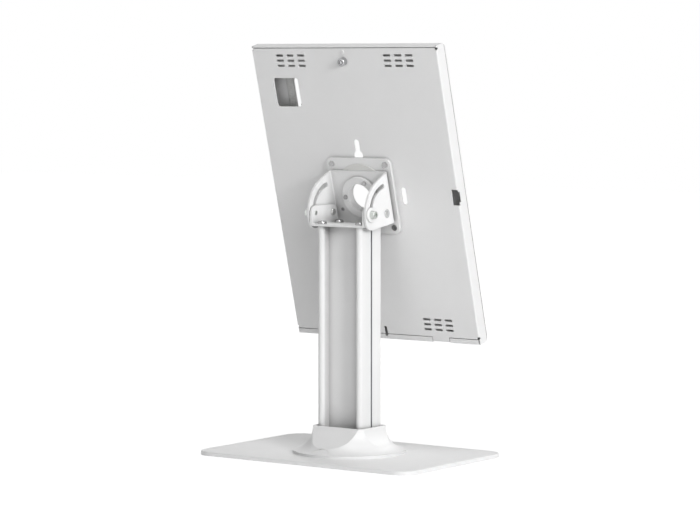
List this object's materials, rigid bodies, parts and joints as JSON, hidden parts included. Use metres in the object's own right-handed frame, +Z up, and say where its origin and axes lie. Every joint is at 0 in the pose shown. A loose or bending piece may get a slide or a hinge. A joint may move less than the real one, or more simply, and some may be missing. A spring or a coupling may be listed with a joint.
{
  "type": "tablet kiosk stand",
  "caption": "Desk stand for a lockable tablet case: heavy plate, slotted column, tilting bracket with arc slots and a turning hub with a cable hole.",
  "frame": {"origin": "on the desk, under the middle of the base plate", "axes": "+Z up, the screen side faces -Y, +X to the right when the screen is looked at from the front"},
  "size_m": [0.3, 0.2, 0.4731],
  "materials": {
    "white_coat": "white fine-texture powder coat on steel",
    "white_extrusion": "white powder coat on an aluminium extrusion",
    "white_plastic": "white moulded plastic, satin",
    "white_nylon": "natural nylon",
    "grey_nylon": "grey nylon bearing",
    "black_nylon": "black nylon friction washer",
    "pad_rubber": "thin black rubber pad",
    "black_foam": "black closed-cell foam strip",
    "white_foam": "white closed-cell foam strip",
    "dark_steel": "black-oxide screw",
    "bright_steel": "bright nickel-plated screw",
    "zinc_steel": "zinc-plated steel",
    "pin_steel": "painted pin, bright inner head",
    "lock_chrome": "chrome-plated lock"
  },
  "bodies": {
    "stand": {"base_plate": "white_coat", "base_pads": "pad_rubber", "base_bolts": "dark_steel", "column": "white_extrusion", "base_shroud": "white_plastic", "column_top_bracket": "white_coat", "bracket_screws": "bright_steel", "pivot_bushes": "grey_nylon", "pivot_pins": "pin_steel", "friction_washers": "black_nylon", "clamp_discs": "white_coat", "split_washers": "zinc_steel", "clamp_screws": "zinc_steel"},
    "exit_door": {"cable_exit_door": "white_plastic"},
    "tilt": {"tilt_bracket": "white_coat", "turn_stop_pin": "bright_steel"},
    "head": {"swivel_disc": "white_nylon", "vesa_plate": "white_coat", "vesa_screws": "bright_steel", "vesa_nuts": "zinc_steel", "hub_washer": "white_nylon", "hub_ring": "white_coat", "hub_screws": "bright_steel", "rear_shell": "white_coat", "rest_pads": "black_foam", "lock_barrel": "lock_chrome", "lock_nut": "zinc_steel"},
    "frame": {"front_frame": "white_coat", "screen_strips": "white_foam", "lock_catch": "white_coat"},
    "lock": {"lock_plug": "lock_chrome", "lock_cam": "zinc_steel", "lock_cam_screw": "dark_steel"}
  },
  "joints": [
    {"name": "head_tilt", "type": "hinge", "parent": "stand", "child": "tilt", "pos_m": [0, -0.0162, 0.2795], "axis": [-1, 0, 0], "range_deg": [0, 75]},
    {"name": "head_turn", "type": "hinge", "parent": "tilt", "child": "head", "pos_m": [0, -0.0301, 0.29948], "axis": [0, 0.9659, -0.2588], "range_deg": [0, 90]},
    {"name": "frame_open", "type": "hinge", "parent": "head", "child": "frame", "pos_m": [0, -0.07533, 0.13301], "axis": [1, 0, 0], "range_deg": [0, 90]},
    {"name": "lock_turn", "type": "hinge", "parent": "head", "child": "lock", "pos_m": [0, 0.011, 0.45287], "axis": [0, 0.9659, -0.2588], "range_deg": [0, 90]},
    {"name": "exit_door_pull", "type": "slide", "parent": "stand", "child": "exit_door", "axis": [0, 1, 0], "range_m": [0, 0.02]}
  ]
}
